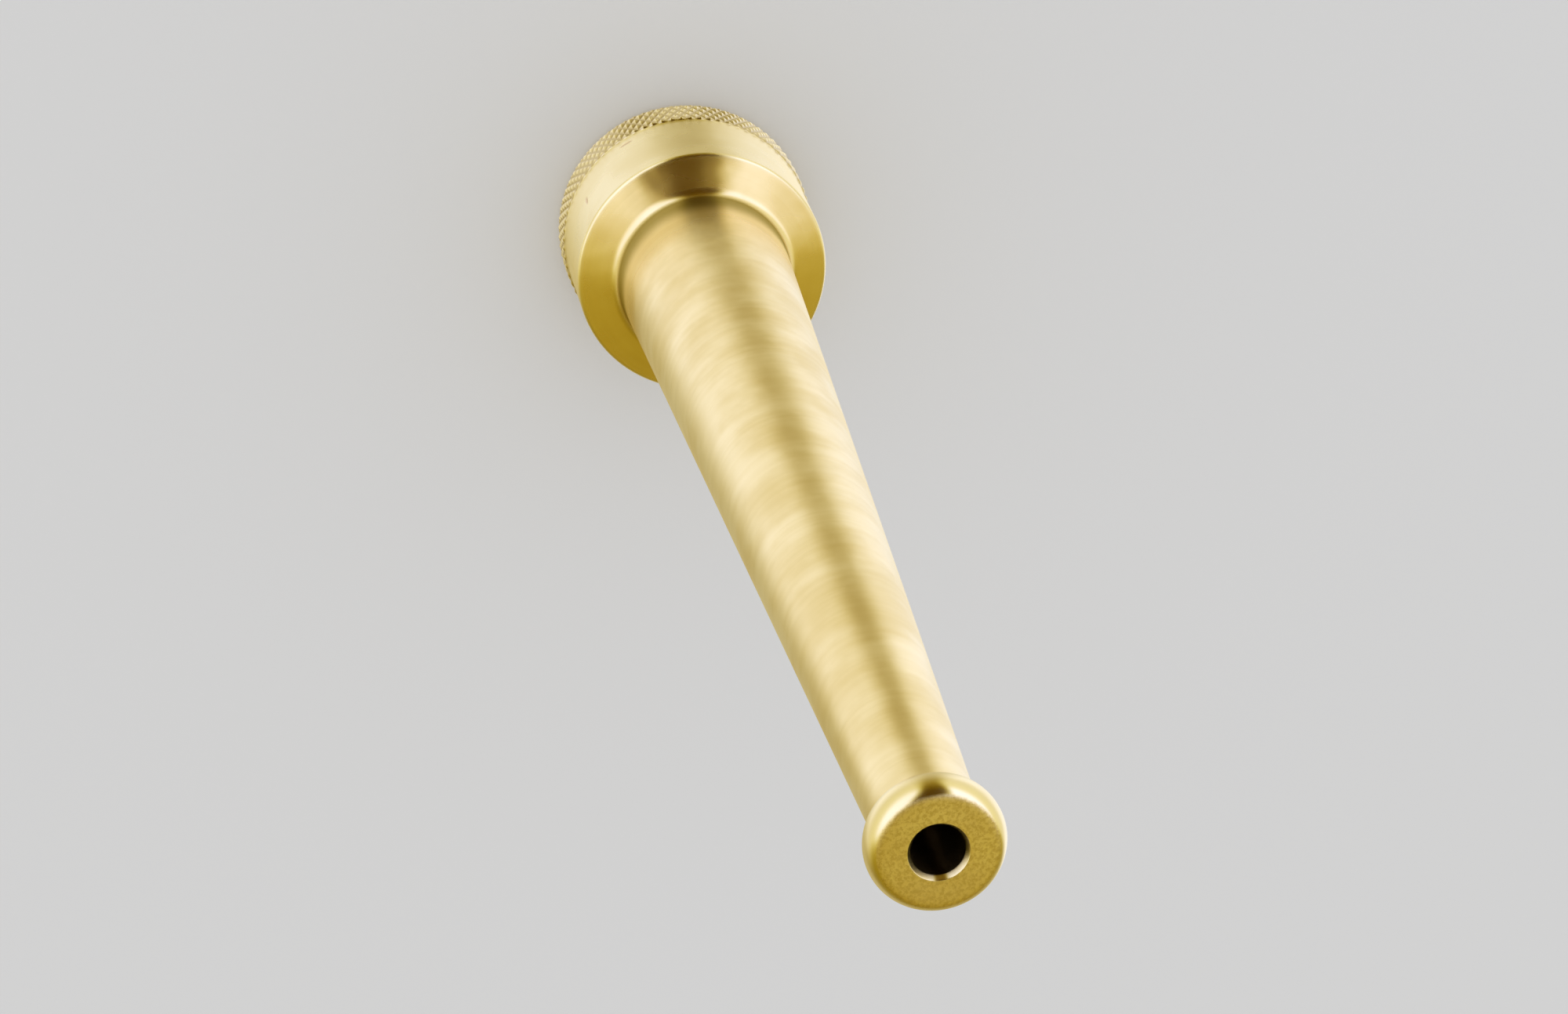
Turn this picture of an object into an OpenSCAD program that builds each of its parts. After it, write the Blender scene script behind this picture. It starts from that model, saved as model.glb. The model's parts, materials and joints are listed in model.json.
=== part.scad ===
// Sweeper (straight jet) hose nozzle, female garden hose inlet, millimetres.
// The nozzle stands on its inlet face at z = 0 with the water way along +Z.
// It is one machined brass body and the flat rubber washer that seals its inlet.

/* [Overall] */
// Length from the inlet face to the outlet face
overall_len = 188; // [150:1:210]

/* [Hub] */
// Outside diameter of the plain part of the hub
hub_d = 33; // [32:0.1:36]
// Length of the hub from the inlet face to the shoulder
hub_len = 20; // [19:0.5:26]
// Radius of the rounded edge round the shoulder
shoulder_round = 0.6; // [0.3:0.1:1.2]
// Slope of the shoulder, rising towards the barrel, in degrees
shoulder_slope = 18; // [0:1:25]
// Radius of the fillet between the shoulder and the barrel
root_fillet = 1.6; // [0.8:0.1:2.4]

/* [Knurl] */
// How far the knurl stands proud of the plain hub
knurl_rise = 0.4; // [0.2:0.05:0.6]
// Width of the knurled band
knurl_width = 5.9; // [4:0.1:8]
// Number of grooves in each of the two directions
knurl_count = 80; // [40:1:90]
// Slant of the grooves from the axis, in degrees
knurl_slant = 30; // [15:1:45]
// Depth of a groove below the crests
knurl_depth = 0.2; // [0.15:0.05:0.45]
// Chamfer at both ends of the band
knurl_chamfer = 0.4; // [0.2:0.1:0.8]

/* [Barrel] */
// Diameter of the barrel where it leaves the shoulder
barrel_root_d = 22.6; // [20:0.1:24]
// Diameter of the barrel just behind the bead
barrel_tip_d = 11; // [9:0.1:13]

/* [Tip bead] */
// Largest diameter of the bead
bead_d = 14.6; // [13:0.1:16]
// Length of the bead
bead_len = 4.7; // [3.5:0.1:6]
// Diameter of the flat outlet face
face_d = 11.6; // [11:0.1:13]
// Radius of the fillet behind the bead
bead_fillet = 1; // [0.6:0.1:1.5]

/* [Water way] */
// Diameter of the outlet
outlet_d = 5.6; // [4:0.1:7]
// Length of the straight outlet before the taper
outlet_land = 12; // [6:1:20]
// Depth of the 60 degree centre chamfer in the outlet
outlet_chamfer = 0.6; // [0.3:0.1:1]
// Diameter of the water way at the washer seat
throat_d = 17; // [15:0.1:18]

/* [Inlet thread] */
// Crest diameter of the female hose thread, 3/4-11.5 NH
thread_minor_d = 24.5; // [24.4:0.05:24.8]
// Root diameter of the female hose thread
thread_major_d = 27.3; // [27.25:0.05:27.5]
// Number of ring grooves that stand for the thread's turns
thread_rings = 4; // [3:1:5]

/* [Washer] */
// Outside diameter of the hose washer
washer_od = 25.6; // [25.4:0.1:25.8]
// Hole diameter of the hose washer
washer_id = 15.9; // [15:0.1:16.5]
// Thickness of the hose washer
washer_t = 3.2; // [2.5:0.1:3.4]
// Radius of the washer's moulded edges
washer_round = 0.4; // [0.2:0.1:0.8]

/* [Hidden] */
brass = [0.78, 0.64, 0.34];
rubber = [0.05, 0.05, 0.05];
$fn = 96;
arc_steps = 8;

hub_r = hub_d / 2;
knurl_r = hub_r + knurl_rise;
root_r = barrel_root_d / 2;
tip_r = barrel_tip_d / 2;
bead_r = bead_d / 2;
outlet_r = outlet_d / 2;
bead_z = overall_len - bead_len;

// The shoulder cone, from its rounded rim in to the foot of the fillet.
rim_c = [hub_r - shoulder_round, hub_len - shoulder_round];
rim = rim_c + shoulder_round * [sin(shoulder_slope), cos(shoulder_slope)];
fillet_x = root_r + root_fillet;
foot_x = fillet_x - root_fillet * sin(shoulder_slope);
foot_z = rim[1] + (rim[0] - foot_x) * tan(shoulder_slope);
fillet_c = [fillet_x, foot_z + root_fillet * cos(shoulder_slope)];

// The inlet, from the mouth up: chamfer, thread, washer pocket, seat.
minor_r = thread_minor_d / 2;
major_r = thread_major_d / 2;
thread_pitch = 25.4 / 11.5;
thread_depth = major_r - minor_r;
root_flat = thread_pitch / 8;
groove_w = root_flat + 2 * thread_depth * tan(30);
mouth_chamfer = 1.2;
mouth_r = minor_r + mouth_chamfer;
thread_start = mouth_chamfer + 0.6;
thread_end = thread_start + thread_rings * thread_pitch;
pocket_r = washer_od / 2 + 0.2;
pocket_top = thread_end + (pocket_r - minor_r) + washer_t + 0.1;
seat_z = pocket_top;

// Points of an arc about c from angle a to angle b, both ends included.
function arc(c, r, a, b, n = arc_steps) =
    [for (i = [0 : n]) let (t = a + (b - a) * i / n) c + r * [cos(t), sin(t)]];

// Outside of the hub, from the inlet face to the foot of the barrel.
function hub_outline() = concat(
    [[hub_r - knurl_chamfer / 2, 0]],
    [[knurl_r, knurl_chamfer + knurl_rise / 2]],
    [[knurl_r, knurl_width - knurl_chamfer]],
    [[hub_r, knurl_width]],
    arc(rim_c, shoulder_round, 0, 90 - shoulder_slope),
    arc(fillet_c, root_fillet, 270 - shoulder_slope, 180)
);

// The bead, as an outward half round between the barrel and the outlet face.
function bead_outline() = let (
    half = bead_len / 2,
    back = [for (i = [0 : arc_steps]) let (t = -90 + 90 * i / arc_steps)
        [tip_r + 0.4 + (bead_r - tip_r - 0.4) * cos(t), bead_z + half + half * sin(t)]],
    front = [for (i = [1 : arc_steps]) let (t = 90 * i / arc_steps)
        [face_d / 2 + (bead_r - face_d / 2) * cos(t), bead_z + half + half * sin(t)]]
) concat(back, front);

// Outside of the barrel behind the bead, with its small fillet.
function barrel_outline() = arc([tip_r + bead_fillet, bead_z - bead_fillet * 0.8], bead_fillet, 180, 127, 4);

// Bore, from the outlet face down to the washer seat.
function bore_outline() = [
    [outlet_r + outlet_chamfer * tan(30), overall_len],
    [outlet_r, overall_len - outlet_chamfer],
    [outlet_r, overall_len - outlet_land],
    [throat_d / 2, hub_len],
    [throat_d / 2, seat_z]
];

// Washer pocket and the mouth below the thread.
function inlet_outline() = concat(
    [[pocket_r, seat_z], [pocket_r, thread_end + (pocket_r - minor_r)], [minor_r, thread_end]],
    [[minor_r, mouth_chamfer], [mouth_r, 0]]
);

// One ring groove of the thread, as its half section.
module thread_groove() {
    overlap = 0.2;
    inner_w = groove_w + 2 * overlap * tan(30);
    polygon([
        [minor_r - overlap, -inner_w / 2],
        [major_r, -root_flat / 2],
        [major_r, root_flat / 2],
        [minor_r - overlap, inner_w / 2]
    ]);
}

// Straight V cutters laid across the band. Two slants make the diamonds.
module knurl_cutters(slant) {
    half_v = knurl_depth + 0.3;
    length = knurl_width * 1.8;
    for (i = [0 : knurl_count - 1])
        rotate([0, 0, 360 * i / knurl_count])
            translate([knurl_r, 0, knurl_width / 2])
                rotate([slant, 0, 0])
                    linear_extrude(height = length, center = true)
                        polygon([[-knurl_depth, 0], [0.3, -half_v], [0.3, half_v]]);
}

module nozzle_body() {
    color(brass)
        difference() {
            rotate_extrude()
                polygon(concat(
                    hub_outline(),
                    barrel_outline(),
                    bead_outline(),
                    bore_outline(),
                    inlet_outline()
                ));
            for (i = [0 : thread_rings - 1])
                translate([0, 0, thread_start + (i + 0.5) * thread_pitch])
                    rotate_extrude()
                        thread_groove();
            knurl_cutters(knurl_slant);
            knurl_cutters(-knurl_slant);
        }
}

module hose_washer() {
    outer = washer_od / 2 - washer_round;
    inner = washer_id / 2 + washer_round;
    low = seat_z - washer_t + washer_round;
    high = seat_z - washer_round;
    color(rubber)
        rotate_extrude()
            polygon(concat(
                arc([inner, low], washer_round, 180, 270, 4),
                arc([outer, low], washer_round, 270, 360, 4),
                arc([outer, high], washer_round, 0, 90, 4),
                arc([inner, high], washer_round, 90, 180, 4)
            ));
}

nozzle_body();
hose_washer();
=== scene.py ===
"""Looks for the straight jet hose nozzle: one turned brass body and the rubber washer in its inlet."""
import json
import math

import bpy
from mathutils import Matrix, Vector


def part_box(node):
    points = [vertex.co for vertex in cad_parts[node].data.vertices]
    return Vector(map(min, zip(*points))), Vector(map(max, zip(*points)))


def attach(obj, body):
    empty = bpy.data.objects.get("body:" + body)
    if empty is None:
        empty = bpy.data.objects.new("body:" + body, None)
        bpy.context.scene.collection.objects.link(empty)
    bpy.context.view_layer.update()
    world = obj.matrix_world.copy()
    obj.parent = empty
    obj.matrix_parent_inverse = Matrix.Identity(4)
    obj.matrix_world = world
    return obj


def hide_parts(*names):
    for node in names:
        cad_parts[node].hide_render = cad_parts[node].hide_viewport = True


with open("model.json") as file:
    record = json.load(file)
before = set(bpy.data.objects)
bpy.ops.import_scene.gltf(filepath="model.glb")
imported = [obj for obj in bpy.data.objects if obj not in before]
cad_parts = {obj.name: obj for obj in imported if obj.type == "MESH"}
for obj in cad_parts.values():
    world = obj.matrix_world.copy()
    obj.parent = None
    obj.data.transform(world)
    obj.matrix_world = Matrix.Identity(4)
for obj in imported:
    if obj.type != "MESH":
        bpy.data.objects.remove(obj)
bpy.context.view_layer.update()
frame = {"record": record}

MM = 0.001
mounts = {m["name"]: m for m in frame["record"]["mounts"]}
body_low, body_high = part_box("nozzle_body")
washer_low, washer_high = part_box("hose_washer")

# Outside of the body, in millimetres. Lengths run up from the inlet face.
TOTAL = (body_high.z - body_low.z) / MM
KNURL_R = body_high.x / MM
HUB_R = 16.5
HUB_LEN = 20.0
SHOULDER_ROUND = 0.6
SHOULDER_SLOPE = 18
ROOT_R = 11.3
ROOT_FILLET = 1.6
TIP_R = 5.5
BEAD_R = 7.3
BEAD_LEN = 4.7
BEAD_FILLET = 1.0
FACE_R = 5.8

# Knurl: two sets of slanted grooves. A groove moves over by one mesh step from each row to the next.
KNURL_WIDTH = 5.9
KNURL_COUNT = 80
KNURL_STEPS = 10
KNURL_ROWS = 26
KNURL_DEPTH = 0.2
KNURL_CHAMFER = 0.3
KNURL_BACK_CHAMFER = 0.5
GROOVE_HALF = 0.4
INLET_EDGE = 0.35

# Water way and inlet.
OUTLET_R = mounts["jet_outlet"]["dims"]["r_mm"]
OUTLET_LAND = 12.0
OUTLET_CHAMFER = 0.6
OUTLET_EDGE = 0.08
THROAT_R = 8.5
THREAD_CREST_R = mounts["hose_inlet"]["dims"]["r_mm"]
THREAD_ROOT_R = 13.65
THREAD_PITCH = 25.4 / 11.5
THREAD_START = 1.2
THREAD_END = THREAD_START + mounts["hose_inlet"]["dims"]["length_mm"]
THREAD_RUN_OUT = 1.2
THREAD_ROW = 0.1
MOUTH_Z = 0.3
POCKET_R = 13.0
SEAT_Z = washer_high.z / MM

WASHER_HOLE_R = 7.95
WASHER_ROUND = 0.4
PARTING_LINE = 0.06

AROUND = 200

# Linear colours of the brass, from clean to dirty and then the painted shade inside the water way, and of
# the rubber.
BRASS_CLEAN = (1.0, 0.88, 0.56, 1)
BRASS_BRIGHT = (0.97, 0.81, 0.47, 1)
BRASS_TARNISHED = (0.86, 0.68, 0.31, 1)
BRASS_DEEP = (0.92, 0.70, 0.27, 1)
# Darker, more saturated gold for a band in the hollow at the barrel's root.
BRASS_ROOT_DARK = (0.42, 0.34, 0.10, 1)
BRASS_GRAIN = (0.68, 0.51, 0.21, 1)
# Painted shade: a dark brown that stands in for the shade deep inside the water way.
PAINTED_BORE_SHADE = (0.25, 0.17, 0.07, 1)
NICK_BROWN = (0.62, 0.36, 0.22, 1)
# Darker colour for the bottoms of the knurl grooves.
KNURL_GROOVE_DARK = (0.55, 0.42, 0.20, 1)
RUBBER_BLACK = (0.018, 0.018, 0.019, 1)
RUBBER_DUST = (0.05, 0.048, 0.045, 1)

# Brightness of the parts of the studio, where 1 is a white card in full light.
GAP_BACK = 0.69
GAP_FRONT = 0.07
LEFT_PANEL = 1.10
RIGHT_PANEL = 1.15
BENCH = 0.45
FLOOR_LIGHT = 0.81
BACKDROP = 0.64

# Floor and camera, in metres, millimetres of lens and degrees.
FLOOR_HALF = 12.0
FLOOR_DROP = 0.0002
CAMERA_LENS = 108.0
CAMERA_SENSOR = 36.0
CAMERA_PLACE = (0.0, -0.2281, 0.5957)
CAMERA_TURN = (-23.046, -8.927, 159.58)


# Outlines: lists of (radius, height) points in millimetres

def arc(cx, cz, radius, start, end, steps):
    """Points of an arc, both ends included, angles in degrees."""
    points = []
    for i in range(steps + 1):
        t = math.radians(start + (end - start) * i / steps)
        points.append((cx + radius * math.cos(t), cz + radius * math.sin(t)))
    return points


def line(start, end, steps):
    """Points of a straight run, without its first point."""
    points = []
    for i in range(1, steps + 1):
        share = i / steps
        points.append((start[0] + (end[0] - start[0]) * share, start[1] + (end[1] - start[1]) * share))
    return points


def hub_outline():
    """From the small chamfer that ends the knurl, up the plain hub and round its front edge."""
    edge_z = HUB_LEN - SHOULDER_ROUND
    start = (HUB_R, KNURL_WIDTH + KNURL_CHAMFER)
    points = [(HUB_R + 0.1, KNURL_WIDTH + 0.05), start]
    points += line(start, (HUB_R, edge_z - 0.05), 24)
    points += arc(HUB_R - SHOULDER_ROUND, edge_z, SHOULDER_ROUND, 0, 90 - SHOULDER_SLOPE, 8)
    return points


def barrel_outline(rim):
    """From the rim of the shoulder up its cone, round the concave fillet and along the taper."""
    slope = math.radians(SHOULDER_SLOPE)
    foot_r = ROOT_R + ROOT_FILLET * (1 - math.sin(slope))
    foot = (foot_r, rim[1] + (rim[0] - foot_r) * math.tan(slope))
    centre_z = foot[1] + ROOT_FILLET * math.cos(slope)
    points = line(rim, foot, 12)
    points += arc(ROOT_R + ROOT_FILLET, centre_z, ROOT_FILLET, 270 - SHOULDER_SLOPE, 182, 14)[1:]
    points += line(points[-1], (TIP_R, TOTAL - BEAD_LEN - BEAD_FILLET), 90)
    return points


def bead_outline():
    """The small fillet behind the bead and the half round bead, up to the outlet face."""
    bead_z = TOTAL - BEAD_LEN
    half = BEAD_LEN / 2
    points = arc(TIP_R + BEAD_FILLET, bead_z - BEAD_FILLET, BEAD_FILLET, 178, 125, 8)[1:]
    back_r = points[-1][0]
    for i in range(1, 15):
        t = math.radians(-90 + 90 * i / 14)
        points.append((back_r + (BEAD_R - back_r) * math.cos(t), bead_z + half + half * math.sin(t)))
    for i in range(1, 13):
        t = math.radians(84 * i / 12)
        z = bead_z + half + (half - 0.02) * math.sin(t)
        points.append((FACE_R + (BEAD_R - FACE_R) * math.cos(t), z))
    return points


def water_way_outline():
    """The outlet face, its chamfered hole, and the water way down to the washer seat."""
    face = (FACE_R - OUTLET_EDGE, TOTAL)
    mouth_r = OUTLET_R + OUTLET_CHAMFER * math.tan(math.radians(30))
    points = [face]
    points += line(face, (mouth_r + OUTLET_EDGE, TOTAL), 10)
    points += arc(mouth_r + OUTLET_EDGE, TOTAL - OUTLET_EDGE, OUTLET_EDGE, 90, 150, 3)[1:]
    points.append((OUTLET_R + 0.03, TOTAL - OUTLET_CHAMFER + 0.04))
    points.append((OUTLET_R, TOTAL - OUTLET_CHAMFER - 0.03))
    points += line((OUTLET_R, TOTAL - OUTLET_CHAMFER), (OUTLET_R, TOTAL - OUTLET_LAND), 12)
    points += line((OUTLET_R, TOTAL - OUTLET_LAND), (THROAT_R, HUB_LEN), 40)
    points += [(THROAT_R, SEAT_Z + 0.3), (THROAT_R + 0.2, SEAT_Z)]
    return points


def seat_outline():
    """The washer seat and its pocket, down to the start of the thread."""
    corner = 0.2
    pocket_low = THREAD_END + POCKET_R - THREAD_CREST_R
    points = line((THROAT_R + corner, SEAT_Z), (POCKET_R - corner, SEAT_Z), 6)
    points += arc(POCKET_R - corner, SEAT_Z - corner, corner, 90, 0, 3)[1:]
    points += [(POCKET_R, pocket_low), (THREAD_CREST_R + 0.02, THREAD_END + 0.02)]
    return points


def mouth_outline():
    """The chamfered mouth below the thread, and the inlet face."""
    edge = 0.05
    mouth_r = THREAD_CREST_R + THREAD_START
    points = [(mouth_r - MOUTH_Z, MOUTH_Z), (mouth_r - edge, edge), (mouth_r + edge, 0.0)]
    points += line(points[-1], (HUB_R - 0.5, 0.0), 6)
    return points


# Meshes

class Shell:
    """A round mesh made of rings, with the distance along the outline kept on every vertex."""

    def __init__(self):
        self.verts = []
        self.faces = []
        self.along = []
        self.length = 0.0
        self.last = None
        self.last_point = None

    def ring(self, count, place, split=None):
        """Adds a ring of count vertices. place(turn) gives (radius, height) at a share of a turn."""
        first = len(self.verts)
        for i in range(count):
            turn = i / count
            r, z = place(turn)
            angle = 2 * math.pi * turn
            self.verts.append((r * MM * math.cos(angle), r * MM * math.sin(angle), z * MM))
        point = place(0.0)
        if self.last_point is not None:
            self.length += math.dist(point, self.last_point)
        self.last_point = point
        self.along.extend([self.length] * count)
        ring = list(range(first, first + count))
        if self.last is not None:
            self.join(self.last, ring, split)
        self.last = ring
        return ring

    def outline(self, points):
        """Adds one round ring for each (radius, height) point."""
        for point in points:
            self.ring(AROUND, lambda turn, p=point: p)

    def join(self, a, b, split=None):
        """Faces between two rings. One ring may have a whole number of times the other's vertices."""
        if len(a) == len(b):
            self.join_equal(a, b, split)
        else:
            self.join_finer(a, b)

    def join_equal(self, a, b, split):
        """Faces between equal rings. split(turn) tells which way a face is cut into triangles."""
        n = len(a)
        for i in range(n):
            j = (i + 1) % n
            if split is None:
                self.faces.append((a[i], a[j], b[j], b[i]))
            elif split(i / n):
                self.faces.append((a[i], a[j], b[i]))
                self.faces.append((a[j], b[j], b[i]))
            else:
                self.faces.append((a[i], a[j], b[j]))
                self.faces.append((a[i], b[j], b[i]))

    def join_finer(self, a, b):
        """A fan of triangles between a ring and a finer one, in either order."""
        swap = len(a) > len(b)
        coarse, fine = (b, a) if swap else (a, b)
        k = len(fine) // len(coarse)
        for i in range(len(coarse)):
            j = (i + 1) % len(coarse)
            start = i * k
            fan = []
            for s in range(k):
                corner = coarse[i] if s < k / 2 else coarse[j]
                fan.append((corner, fine[(start + s + 1) % len(fine)], fine[start + s]))
            fan.append((coarse[i], coarse[j], fine[(start + math.ceil(k / 2)) % len(fine)]))
            self.faces.extend(face[::-1] if swap else face for face in fan)

    def build(self, name, first):
        """Joins the last ring back to the first one and gives the finished object."""
        self.join(self.last, first)
        mesh = bpy.data.meshes.new(name)
        mesh.from_pydata(self.verts, [], self.faces)
        attribute = mesh.attributes.new("along", "FLOAT", "POINT")
        attribute.data.foreach_set("value", self.along)
        mesh.validate()
        mesh.update()
        piece = bpy.data.objects.new(name, mesh)
        bpy.context.scene.collection.objects.link(piece)
        return piece


def groove_offsets(turn, row):
    """Distances to the nearest groove of each set, in pitches, at a share of a turn and a knurl row."""
    shift = row / KNURL_STEPS
    around = turn * KNURL_COUNT
    return [abs(u - round(u)) for u in (around + shift, around - shift)]


def knurl_band(shell):
    """The knurled band, from the inlet edge to its front step, its faces split along the grooves."""
    for row in range(KNURL_ROWS + 1):
        z = KNURL_WIDTH * row / KNURL_ROWS
        edge = max(0.0, 1 - z / KNURL_BACK_CHAMFER, 1 - (KNURL_WIDTH - z) / KNURL_CHAMFER)

        def place(turn, row=row, z=z, edge=edge):
            near = min(groove_offsets(turn, row))
            depth = KNURL_DEPTH * max(0.0, 1 - near / GROOVE_HALF) ** 0.8
            return KNURL_R - KNURL_CHAMFER * edge - depth * (1 - 0.9 * edge), z

        def split(turn, row=row):
            rising, falling = groove_offsets(turn + 0.5 / KNURL_COUNT / KNURL_STEPS, row - 0.5)
            return rising < falling

        shell.ring(KNURL_COUNT * KNURL_STEPS, place, split)


def thread_band(shell):
    """The female thread, from the washer pocket down to the mouth, as a true right-hand helix."""
    depth = THREAD_ROOT_R - THREAD_CREST_R
    flat = THREAD_PITCH / 8
    rows = round((THREAD_END - MOUTH_Z) / THREAD_ROW)
    for row in range(1, rows):
        z = THREAD_END - (THREAD_END - MOUTH_Z) * row / rows

        def place(turn, z=z):
            phase = (z - THREAD_START) / THREAD_PITCH - turn
            distance = abs(phase - round(phase)) * THREAD_PITCH
            cut = depth - max(0.0, distance - flat / 2) / math.tan(math.radians(30))
            cut = min(depth, max(0.0, cut))
            fade = min(1.0, max(0.0, (THREAD_END - 0.1 - z) / THREAD_RUN_OUT))
            mouth = THREAD_CREST_R + max(0.0, THREAD_START - z)
            return max(THREAD_CREST_R + cut * fade, mouth), z

        shell.ring(AROUND, place)


def body():
    """The one-piece turned body, as one closed skin from the inlet face round to it again."""
    shell = Shell()
    first = shell.ring(AROUND, lambda turn: (HUB_R - INLET_EDGE, 0.0))
    knurl_band(shell)
    shell.outline(hub_outline())
    shell.outline(barrel_outline(shell.last_point))
    shell.outline(bead_outline())
    shell.outline(water_way_outline())
    shell.outline(seat_outline())
    thread_band(shell)
    shell.outline(mouth_outline())
    return shell.build("brass_body", first)


def washer():
    """The moulded rubber washer, with rounded edges and a faint parting line round its rim."""
    low = washer_low.z / MM
    high = washer_high.z / MM
    middle = (low + high) / 2
    outer = washer_high.x / MM
    inner_c = WASHER_HOLE_R + WASHER_ROUND
    outer_c = outer - WASHER_ROUND
    points = arc(inner_c, low + WASHER_ROUND, WASHER_ROUND, 180, 270, 6)
    points += line((inner_c, low), (outer_c, low), 8)
    points += arc(outer_c, low + WASHER_ROUND, WASHER_ROUND, 270, 360, 6)[1:]
    points += [
        (outer, middle - 2 * PARTING_LINE),
        (outer + PARTING_LINE, middle),
        (outer, middle + 2 * PARTING_LINE),
    ]
    points += arc(outer_c, high - WASHER_ROUND, WASHER_ROUND, 0, 90, 6)
    points += line((outer_c, high), (inner_c, high), 8)
    points += arc(inner_c, high - WASHER_ROUND, WASHER_ROUND, 90, 180, 6)[1:]
    shell = Shell()
    first = shell.ring(AROUND, lambda turn: points[0])
    shell.outline(points[1:])
    return shell.build("rubber_washer", first)


def finish_mesh(piece, sharp_degrees):
    """Smooth shading, with edges sharper than the limit kept crisp."""
    mesh = piece.data
    for polygon in mesh.polygons:
        polygon.use_smooth = True
    mesh.set_sharp_from_angle(angle=math.radians(sharp_degrees))
    weighted = piece.modifiers.new("even_normals", "WEIGHTED_NORMAL")
    weighted.keep_sharp = True
    weighted.weight = 60


# Materials

class Nodes:
    """Short calls for building a node tree."""

    def __init__(self, tree):
        self.tree = tree
        tree.nodes.clear()

    def add(self, kind, settings=None, **inputs):
        """A node of a kind, with its settings, and its inputs as values or as sockets to link."""
        node = self.tree.nodes.new(kind)
        for key, value in (settings or {}).items():
            setattr(node, key, value)
        for key, value in inputs.items():
            self.put(node, key, value)
        return node

    def put(self, node, key, value):
        """Sets or links one input, named with underscores for spaces, or numbered as _0, _1."""
        index = key[1:]
        name = int(index) if index.isdigit() else key.replace("_", " ")
        socket = node.inputs[name]
        if isinstance(value, bpy.types.NodeSocket):
            self.tree.links.new(value, socket)
        else:
            socket.default_value = value

    def math(self, operation, a, b=0.0, c=0.0):
        """One arithmetic step."""
        return self.add("ShaderNodeMath", {"operation": operation}, _0=a, _1=b, _2=c).outputs[0]

    def dot(self, a, b):
        """Dot product of two vectors."""
        node = self.add("ShaderNodeVectorMath", {"operation": "DOT_PRODUCT"}, _0=a, _1=b)
        return node.outputs["Value"]

    def ramp(self, value, low, high, out_low=0.0, out_high=1.0):
        """Smooth step of value from low..high to out_low..out_high."""
        node = self.add(
            "ShaderNodeMapRange",
            {"interpolation_type": "SMOOTHSTEP"},
            Value=value,
            From_Min=low,
            From_Max=high,
            To_Min=out_low,
            To_Max=out_high,
        )
        return node.outputs[0]

    def window(self, value, low, low_full, high_full, high):
        """Share that rises from low to low_full, stays 1, and falls from high_full to high."""
        return self.math("MULTIPLY", self.ramp(value, low, low_full), self.ramp(value, high, high_full))

    def blend(self, factor, a, b):
        """Blend of two numbers."""
        return self.add("ShaderNodeMix", {"data_type": "FLOAT"}, _0=factor, _2=a, _3=b).outputs[0]

    def mix(self, factor, a, b):
        """Blend of two colours."""
        return self.add("ShaderNodeMix", {"data_type": "RGBA"}, _0=factor, _6=a, _7=b).outputs[2]

    def noise(self, vector, scale, detail=2.0, roughness=0.5):
        """Smooth noise about 0.5."""
        node = self.add(
            "ShaderNodeTexNoise",
            Vector=vector,
            Scale=scale,
            Detail=detail,
            Roughness=roughness,
        )
        return node.outputs["Fac"]


def grey(level):
    """A plain grey of a linear level."""
    return level, level, level, 1


def new_material(name):
    """An empty node material and its node tree helper."""
    material = bpy.data.materials.new(name)
    material.use_nodes = True
    return material, Nodes(material.node_tree)


def nick(n, place, centre, direction, length, width):
    """Share of a long thin mark on the surface. Centre, length and width are in millimetres."""
    offset = n.add(
        "ShaderNodeVectorMath",
        {"operation": "MULTIPLY_ADD"},
        _0=place,
        _1=(1 / MM, 1 / MM, 1 / MM),
        _2=[-value for value in centre],
    ).outputs[0]
    along = n.dot(offset, direction)
    square = n.dot(offset, offset)
    square = n.math("MULTIPLY_ADD", n.math("MULTIPLY", along, along), (width / length) ** 2 - 1, square)
    return n.ramp(square, (width / 2) ** 2, 0.0)


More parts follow.
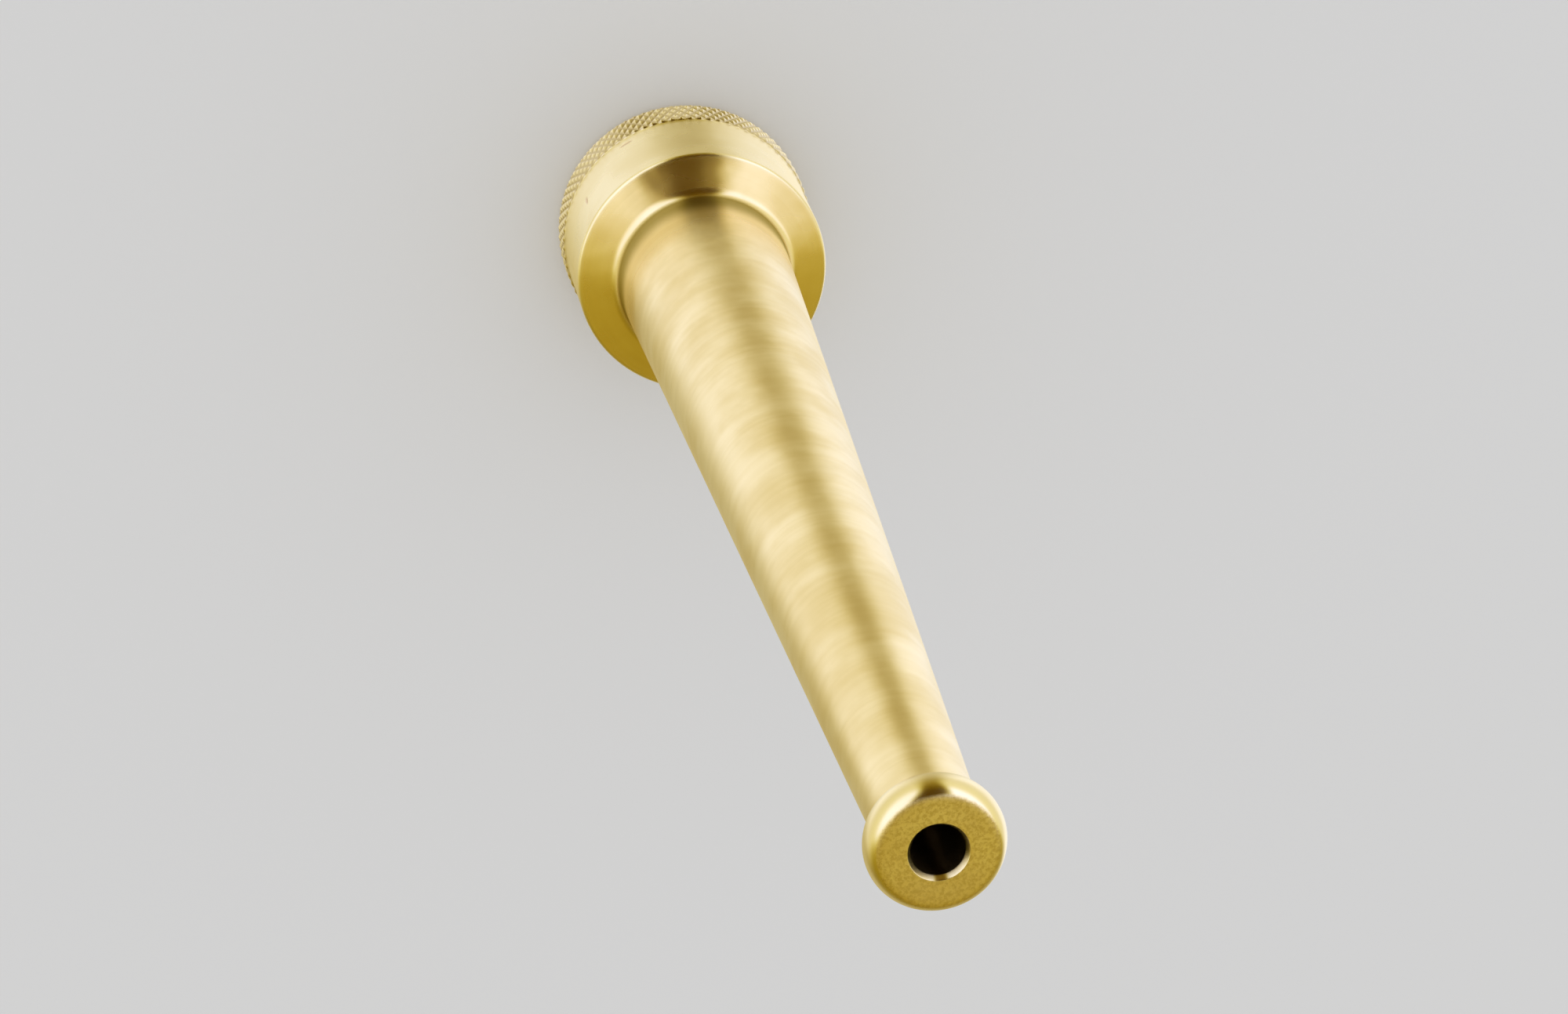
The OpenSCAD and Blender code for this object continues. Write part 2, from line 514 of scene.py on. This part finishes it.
def brass_material():
    """Turned brass: lathe marks, cloudy tarnish, a brushed hub, a darker band at the barrel's root, a
    grainy outlet face.
    """
    material, n = new_material("turned_brass")
    place = n.add("ShaderNodeTexCoord").outputs["Object"]
    axes = n.add("ShaderNodeSeparateXYZ", Vector=place)
    x = axes.outputs["X"]
    y = axes.outputs["Y"]
    z = n.math("MULTIPLY", axes.outputs["Z"], 1 / MM)
    radius = n.math("SQRT", n.math("MULTIPLY_ADD", x, x, n.math("MULTIPLY", y, y)))
    radius = n.math("MULTIPLY", radius, 1 / MM)
    normal = n.add("ShaderNodeNewGeometry").outputs["Normal"]
    facing = n.add("ShaderNodeSeparateXYZ", Vector=normal)
    end_face = n.ramp(facing.outputs["Z"], 0.80, 0.97)
    inward = n.math("MULTIPLY", facing.outputs["X"], x)
    inward = n.math("MULTIPLY_ADD", facing.outputs["Y"], y, inward)
    inward = n.ramp(inward, 0.0, -0.0005)

    # Where each part of the outline lies.
    hub = n.ramp(radius, HUB_R - 0.8, HUB_R - 0.1)
    shoulder = n.math("MULTIPLY", end_face, n.ramp(z, HUB_LEN + 2.5, HUB_LEN + 1.5))
    hollow = n.window(z, HUB_LEN + 1.6, HUB_LEN + 2.4, HUB_LEN + 3.5, HUB_LEN + 8)
    root = n.window(z, HUB_LEN + 1.5, HUB_LEN + 2.5, HUB_LEN + 4, HUB_LEN + 14)
    bead = n.ramp(z, TOTAL - BEAD_LEN - 0.8, TOTAL - BEAD_LEN + 0.2)
    tip_face = n.math("MULTIPLY", end_face, n.ramp(z, TOTAL - 1.6, TOTAL - 0.6))
    groove = n.ramp(z, KNURL_WIDTH, KNURL_WIDTH - 0.1)
    groove = n.math("MULTIPLY", groove, n.ramp(radius, KNURL_R - 0.05, KNURL_R - 0.17))
    groove = n.math("MULTIPLY", groove, n.math("SUBTRACT", 1.0, inward))
    water_way = n.math("MULTIPLY", inward, n.ramp(z, TOTAL - 0.5, TOTAL - 0.7))

    # Lathe marks vary along the outline and only slowly round it.
    along = n.add("ShaderNodeAttribute", {"attribute_name": "along"}).outputs["Fac"]
    slow_x = n.math("MULTIPLY", x, 20.0)
    slow_y = n.math("MULTIPLY", y, 20.0)
    turned = n.add("ShaderNodeCombineXYZ", X=slow_x, Y=slow_y, Z=along).outputs[0]
    rings = n.noise(turned, 0.55, 3.0, 0.6)
    waves = n.noise(place, 100.0)
    cloud = n.noise(place, 110.0, 3.0)
    grain = n.noise(place, 2400.0, 3.0, 0.7)

    # Two small nicks in the hub, one round it beside the knurl and one along it.
    nicks = n.math(
        "MAXIMUM",
        nick(n, place, (2.9, -16.25, 7.7), (0.98, 0.17, 0.0), 2.6, 0.7),
        nick(n, place, (10.5, -12.7, 12.5), (0.1, 0.0, 0.99), 3.4, 0.6),
    )

    height = n.math("MULTIPLY", rings, 0.02)
    height = n.math("MULTIPLY_ADD", nicks, -0.04, height)
    height = n.math("MULTIPLY_ADD", waves, 0.22, height)
    height = n.math("MULTIPLY_ADD", n.math("MULTIPLY", grain, tip_face), 0.03, height)
    bump = n.add("ShaderNodeBump", Height=height, Strength=1.0, Distance=MM)

    roughness = n.ramp(cloud, 0.3, 0.7, 0.19, 0.25)
    for share, more in ((hub, 0.06), (shoulder, 0.05), (root, 0.12), (tip_face, 0.12)):
        roughness = n.math("MULTIPLY_ADD", share, more, roughness)

    # Thin tarnish in soft clouds and along the lathe marks.
    tarnish = n.ramp(cloud, 0.35, 0.65, 0.0, 0.75)
    tarnish = n.math("MULTIPLY_ADD", n.ramp(rings, 0.35, 0.65), 0.25, tarnish)
    colour = n.mix(tarnish, BRASS_BRIGHT, BRASS_TARNISHED)
    # The hub and the bead are handled clean. The shoulder keeps a deeper gold.
    clean = n.math("MAXIMUM", hub, bead)
    clean = n.math("MULTIPLY", clean, n.math("MULTIPLY_ADD", tip_face, -0.6, 0.6))
    colour = n.mix(clean, colour, BRASS_CLEAN)
    colour = n.mix(n.math("MULTIPLY", shoulder, 0.5), colour, BRASS_DEEP)
    # Darker band in the hollow at the barrel's root, nicks, darker knurl grooves, grain on the outlet
    # face, painted shade inside.
    colour = n.mix(hollow, colour, BRASS_ROOT_DARK)
    colour = n.mix(n.math("MULTIPLY", nicks, 0.6), colour, NICK_BROWN)
    # The bottoms of the knurl grooves are coloured darker.
    colour = n.mix(n.math("MULTIPLY", groove, 0.7), colour, KNURL_GROOVE_DARK)
    grainy = n.math("MULTIPLY", tip_face, n.ramp(grain, 0.40, 0.62))
    colour = n.mix(n.math("MULTIPLY", grainy, 0.8), colour, BRASS_GRAIN)
    # Painted shade: every inward-facing surface inside the nozzle, below the outlet face, is coloured dark
    # brown.
    colour = n.mix(water_way, colour, PAINTED_BORE_SHADE)

    # Reflections stretch round the axis, but hardly on the outlet face.
    shader = n.add(
        "ShaderNodeBsdfPrincipled",
        Base_Color=colour,
        Metallic=1.0,
        Roughness=roughness,
        Anisotropic=n.math("SUBTRACT", 0.85, n.math("MULTIPLY", tip_face, 0.7)),
        Anisotropic_Rotation=0.25,
        Normal=bump.outputs[0],
        Tangent=n.add("ShaderNodeTangent", {"direction_type": "RADIAL", "axis": "Z"}).outputs[0],
    )
    n.add("ShaderNodeOutputMaterial", Surface=shader.outputs[0])
    return material


def rubber_material():
    """Matt moulded rubber, a little dusty, with fine grain."""
    material, n = new_material("moulded_rubber")
    place = n.add("ShaderNodeTexCoord").outputs["Object"]
    grain = n.noise(place, 900.0, 3.0)
    dust = n.noise(place, 120.0, 3.0)
    colour = n.mix(n.ramp(dust, 0.4, 0.8), RUBBER_BLACK, RUBBER_DUST)
    bump = n.add("ShaderNodeBump", Height=grain, Strength=0.25, Distance=0.1 * MM)
    shader = n.add(
        "ShaderNodeBsdfPrincipled",
        Base_Color=colour,
        Roughness=n.ramp(dust, 0.3, 0.7, 0.55, 0.75),
        Normal=bump.outputs[0],
    )
    n.add("ShaderNodeOutputMaterial", Surface=shader.outputs[0])
    return material


def floor_material():
    """Plain pale matt floor."""
    material, n = new_material("pale_floor")
    shader = n.add("ShaderNodeBsdfDiffuse", Color=grey(0.80))
    n.add("ShaderNodeOutputMaterial", Surface=shader.outputs[0])
    return material


# Stage

def pale_floor():
    """A wide plain floor just under the nozzle, left out of its reflections."""
    corners = [(x * FLOOR_HALF, y * FLOOR_HALF, 0) for x, y in ((-1, -1), (1, -1), (1, 1), (-1, 1))]
    mesh = bpy.data.meshes.new("floor")
    mesh.from_pydata(corners, [], [(0, 1, 2, 3)])
    mesh.materials.append(floor_material())
    floor = bpy.data.objects.new("floor", mesh)
    floor.location.z = -FLOOR_DROP
    floor.visible_glossy = False
    bpy.context.scene.collection.objects.link(floor)


def studio(right, up, front):
    """World light. Camera rays see plain grey and the floor gets even light. Reflections see a studio laid
    out in the camera's directions: white panels left and right of a dark gap, over a dim bench."""
    world = bpy.data.worlds.new("studio")
    bpy.context.scene.world = world
    world.use_nodes = True
    world.cycles.sampling_method = "NONE"
    n = Nodes(world.node_tree)
    way = n.add("ShaderNodeTexCoord").outputs["Generated"]
    across, height, toward = (n.dot(way, axis) for axis in (right, up, front))
    # The gap is dark in front and only dim behind. The bench rises out of it, lighter to the right.
    level = n.ramp(toward, -0.65, 0.7, GAP_BACK, GAP_FRONT)
    bench = n.math("MULTIPLY_ADD", across, 0.12, BENCH)
    level = n.blend(n.ramp(height, -0.25, -0.60), level, bench)
    # Left panel. It fades downwards, sooner behind than in front.
    edge = n.ramp(height, -0.5, 0.4, 0.0, 0.23)
    softness = n.ramp(toward, -0.6, 0.4, 0.38, 0.24)
    lit = n.ramp(n.math("DIVIDE", n.math("ADD", across, edge), softness), 0.5, -0.5)
    low = n.ramp(toward, -0.8, -0.3, -0.05, -0.75)
    fade = n.math("DIVIDE", n.math("SUBTRACT", height, low), n.ramp(toward, -0.8, -0.3, 0.45, 0.60))
    panel = n.blend(n.ramp(fade, 0.0, 1.0), n.ramp(toward, -0.8, -0.3, 0.60, 0.40), LEFT_PANEL)
    level = n.blend(lit, level, panel)
    # Right panel. Its edge swings outwards in front and it ends above the bench.
    swing = n.math("MULTIPLY_ADD", height, 0.20, 0.27)
    edge = n.math("MULTIPLY_ADD", n.math("MAXIMUM", toward, 0.0), swing, 0.17)
    softness = n.ramp(toward, -0.6, 0.4, 0.32, 0.22)
    lit = n.ramp(n.math("DIVIDE", n.math("SUBTRACT", across, edge), softness), -0.5, 0.5)
    panel = n.ramp(height, -0.48, -0.18, 0.52, RIGHT_PANEL)
    level = n.blend(lit, level, panel)
    # The room is dimmer level with the nozzle than in front of it and behind it.
    beside = n.math("MULTIPLY", n.ramp(toward, 0.45, 0.20), n.ramp(toward, -0.70, -0.35))
    level = n.math("MULTIPLY", level, n.math("MULTIPLY_ADD", beside, -0.27, 1.0))
    level = n.math("MULTIPLY", level, n.ramp(toward, -0.6, 0.4, 0.97, 1.08))
    # The dimmer a part of the room, the warmer it is, more so in front.
    warmth = n.ramp(toward, -0.6, 0.2)
    green = n.math("POWER", level, n.math("MULTIPLY_ADD", warmth, 0.08, 1.2))
    blue = n.math("POWER", level, n.math("MULTIPLY_ADD", warmth, 1.3, 2.2))
    blue = n.math("MULTIPLY", blue, n.math("MULTIPLY_ADD", warmth, -0.12, 1.0))
    light = n.add("ShaderNodeCombineColor", Red=level, Green=green, Blue=blue).outputs[0]
    rays = n.add("ShaderNodeLightPath")
    light = n.mix(rays.outputs["Is Diffuse Ray"], light, grey(FLOOR_LIGHT))
    light = n.mix(rays.outputs["Is Camera Ray"], light, grey(BACKDROP))
    surface = n.add("ShaderNodeBackground", Color=light)
    n.add("ShaderNodeOutputWorld", Surface=surface.outputs[0])


def view_camera():
    """The camera, high in front of the outlet and looking down the barrel."""
    data = bpy.data.cameras.new("camera")
    data.lens = CAMERA_LENS
    data.sensor_width = CAMERA_SENSOR
    camera = bpy.data.objects.new("camera", data)
    camera.location = CAMERA_PLACE
    camera.rotation_euler = [math.radians(angle) for angle in CAMERA_TURN]
    bpy.context.scene.collection.objects.link(camera)
    bpy.context.scene.camera = camera
    bpy.context.view_layer.update()
    return camera


def install(piece, material, node):
    """Gives a piece its material and puts it on the fixed body in place of a CAD node."""
    piece.data.materials.append(material)
    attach(piece, "root")
    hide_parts(node)


brass_body = body()
finish_mesh(brass_body, 32)
install(brass_body, brass_material(), "nozzle_body")

rubber_washer = washer()
finish_mesh(rubber_washer, 50)
install(rubber_washer, rubber_material(), "hose_washer")

pale_floor()
camera_axes = view_camera().matrix_world.to_3x3()
studio(camera_axes.col[0], camera_axes.col[1], camera_axes.col[2])
bpy.context.scene.view_settings.view_transform = "Standard"
